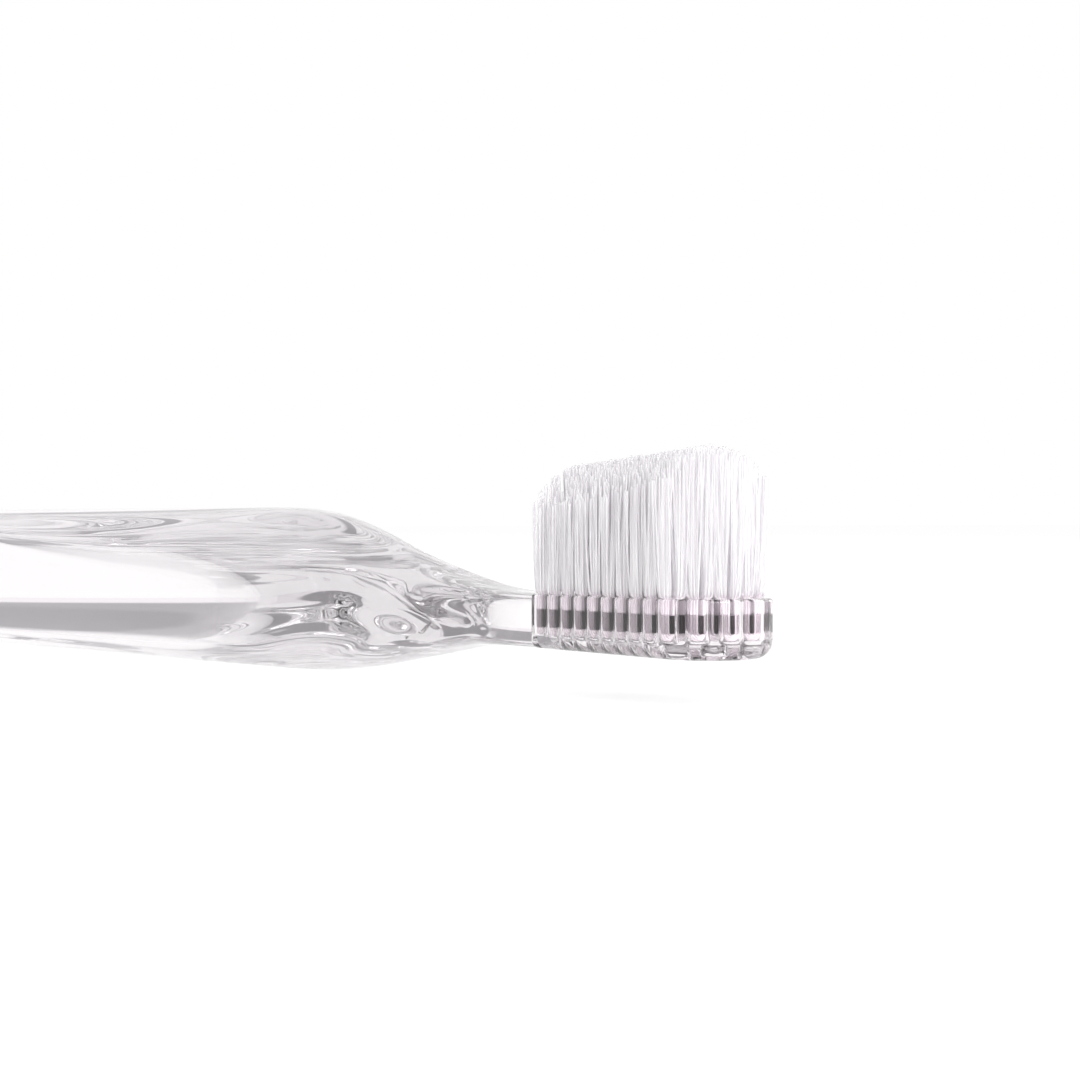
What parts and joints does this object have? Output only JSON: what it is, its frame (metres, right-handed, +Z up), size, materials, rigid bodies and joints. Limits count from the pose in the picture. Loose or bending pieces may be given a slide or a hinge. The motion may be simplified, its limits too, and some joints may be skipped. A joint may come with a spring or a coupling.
{
  "type": "manual toothbrush",
  "caption": "Manual toothbrush with a thick clear handle, a slim neck and a dense, dome-trimmed block of pale bristles on a flat clear head.",
  "frame": {"origin": "on the surface that the brush lies on, below the middle of its bounding box", "axes": "+X towards the tip of the head, +Y across the brush, +Z up, the way the bristles point"},
  "size_m": [0.18, 0.0146, 0.019],
  "materials": {
    "clear_plastic": "polished",
    "anchor_strip": "satin",
    "bristle_nylon": "satin"
  },
  "bodies": {
    "root": {"body": "clear_plastic", "anchors_row_1": "anchor_strip", "anchors_row_2": "anchor_strip", "anchors_row_3": "anchor_strip", "anchors_row_4": "anchor_strip", "anchors_row_5": "anchor_strip", "tuft_1_01": "bristle_nylon", "tuft_1_02": "bristle_nylon", "tuft_1_03": "bristle_nylon", "tuft_1_04": "bristle_nylon", "tuft_1_05": "bristle_nylon", "tuft_1_06": "bristle_nylon", "tuft_1_07": "bristle_nylon", "tuft_1_08": "bristle_nylon", "tuft_1_09": "bristle_nylon", "tuft_1_10": "bristle_nylon", "tuft_2_01": "bristle_nylon", "tuft_2_02": "bristle_nylon", "tuft_2_03": "bristle_nylon", "tuft_2_04": "bristle_nylon", "tuft_2_05": "bristle_nylon", "tuft_2_06": "bristle_nylon", "tuft_2_07": "bristle_nylon", "tuft_2_08": "bristle_nylon", "tuft_2_09": "bristle_nylon", "tuft_2_10": "bristle_nylon", "tuft_3_01": "bristle_nylon", "tuft_3_02": "bristle_nylon", "tuft_3_03": "bristle_nylon", "tuft_3_04": "bristle_nylon", "tuft_3_05": "bristle_nylon", "tuft_3_06": "bristle_nylon", "tuft_3_07": "bristle_nylon", "tuft_3_08": "bristle_nylon", "tuft_3_09": "bristle_nylon", "tuft_3_10": "bristle_nylon", "tuft_3_11": "bristle_nylon", "tuft_4_01": "bristle_nylon", "tuft_4_02": "bristle_nylon", "tuft_4_03": "bristle_nylon", "tuft_4_04": "bristle_nylon", "tuft_4_05": "bristle_nylon", "tuft_4_06": "bristle_nylon", "tuft_4_07": "bristle_nylon", "tuft_4_08": "bristle_nylon", "tuft_4_09": "bristle_nylon", "tuft_4_10": "bristle_nylon", "tuft_5_01": "bristle_nylon", "tuft_5_02": "bristle_nylon", "tuft_5_03": "bristle_nylon", "tuft_5_04": "bristle_nylon", "tuft_5_05": "bristle_nylon", "tuft_5_06": "bristle_nylon", "tuft_5_07": "bristle_nylon", "tuft_5_08": "bristle_nylon", "tuft_5_09": "bristle_nylon", "tuft_5_10": "bristle_nylon"}
  },
  "joints": []
}
